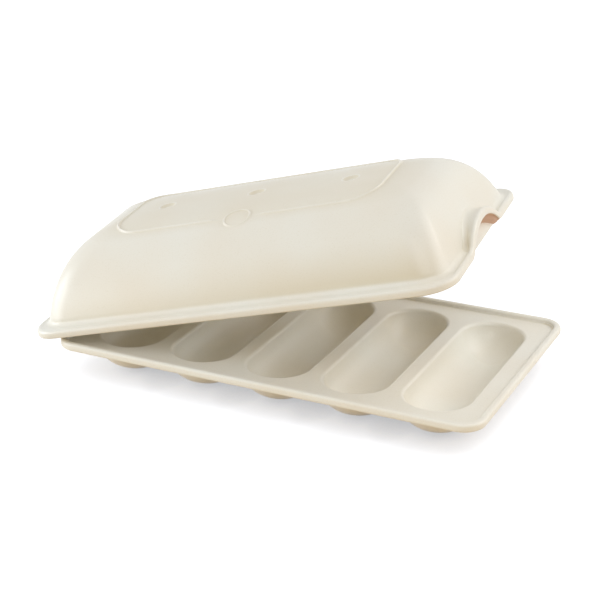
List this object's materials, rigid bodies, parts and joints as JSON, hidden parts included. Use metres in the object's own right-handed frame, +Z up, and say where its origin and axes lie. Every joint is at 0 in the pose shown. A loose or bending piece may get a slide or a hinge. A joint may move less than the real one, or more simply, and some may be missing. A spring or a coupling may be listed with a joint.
{
  "type": "ceramic baguette baker",
  "caption": "Glazed ceramic baguette baker: a low tray with a row of long round-bottomed troughs and a loose domed lid with arched hand-holds and steam vents, shown tipped open.",
  "frame": {"origin": "on the table, at the middle of the flat foot under the middle trough", "axes": "+X along the length towards the end that the lid opens, +Y to the back, +Z up"},
  "size_m": [0.4374, 0.2639, 0.1893],
  "materials": {
    "tray_glaze": "satin-gloss cream glaze",
    "lid_glaze": "satin-gloss cream glaze"
  },
  "bodies": {
    "tray": {"base_tray": "tray_glaze"},
    "lid": {"domed_lid": "lid_glaze"}
  },
  "joints": [
    {"name": "lid_tip", "type": "hinge", "parent": "tray", "child": "lid", "pos_m": [-0.2165, 0, -0.0902], "axis": [0.1769, -0.9263, 0.3326], "range_deg": [-15.85, 24]}
  ]
}
